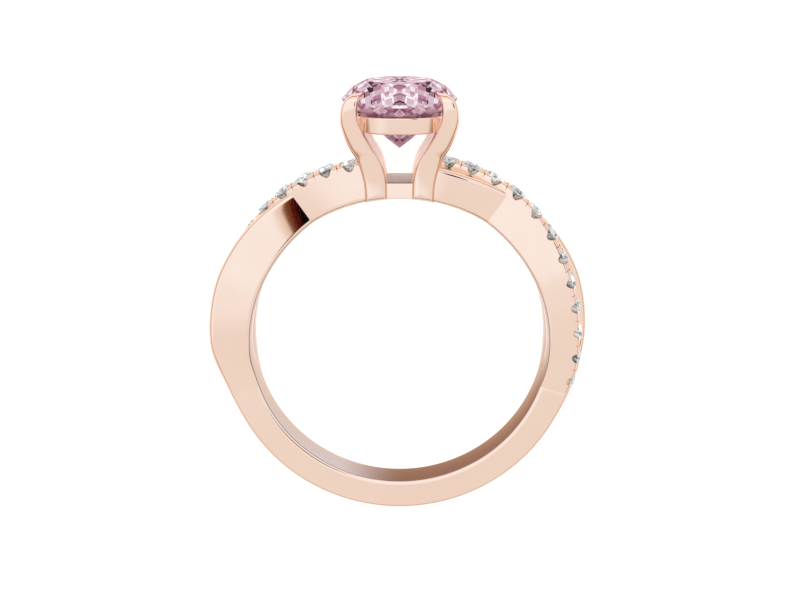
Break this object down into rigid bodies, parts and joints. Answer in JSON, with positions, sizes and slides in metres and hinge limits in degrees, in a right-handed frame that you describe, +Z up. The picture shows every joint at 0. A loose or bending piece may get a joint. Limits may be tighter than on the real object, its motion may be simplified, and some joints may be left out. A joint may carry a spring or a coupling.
{
  "type": "twisted shank ring",
  "caption": "Finger ring lying on its side: a plain and a stone-set strand cross on the shank, and a four-claw head holds an oval brilliant.",
  "frame": {"origin": "floor point under the middle of the lying ring's bounding box", "axes": "+Y from the plain band towards the head, +Z up from the floor, +X across the ring"},
  "size_m": [0.022, 0.0258, 0.0084],
  "materials": {
    "rose_gold": "polished",
    "pink_stone": "faceted and polished",
    "clear_stone": "faceted and polished"
  },
  "bodies": {
    "root": {"ring_mount": "rose_gold", "centre_stone": "pink_stone", "stone_right_1": "clear_stone", "stone_right_2": "clear_stone", "stone_right_3": "clear_stone", "stone_right_4": "clear_stone", "stone_right_5": "clear_stone", "stone_right_6": "clear_stone", "stone_right_7": "clear_stone", "stone_right_8": "clear_stone", "stone_right_9": "clear_stone", "stone_right_10": "clear_stone", "stone_right_11": "clear_stone", "stone_right_12": "clear_stone", "stone_left_1": "clear_stone", "stone_left_2": "clear_stone", "stone_left_3": "clear_stone", "stone_left_4": "clear_stone", "stone_left_5": "clear_stone", "stone_left_6": "clear_stone", "stone_left_7": "clear_stone", "stone_left_8": "clear_stone", "stone_left_9": "clear_stone", "stone_left_10": "clear_stone", "stone_left_11": "clear_stone", "stone_left_12": "clear_stone"}
  },
  "joints": []
}
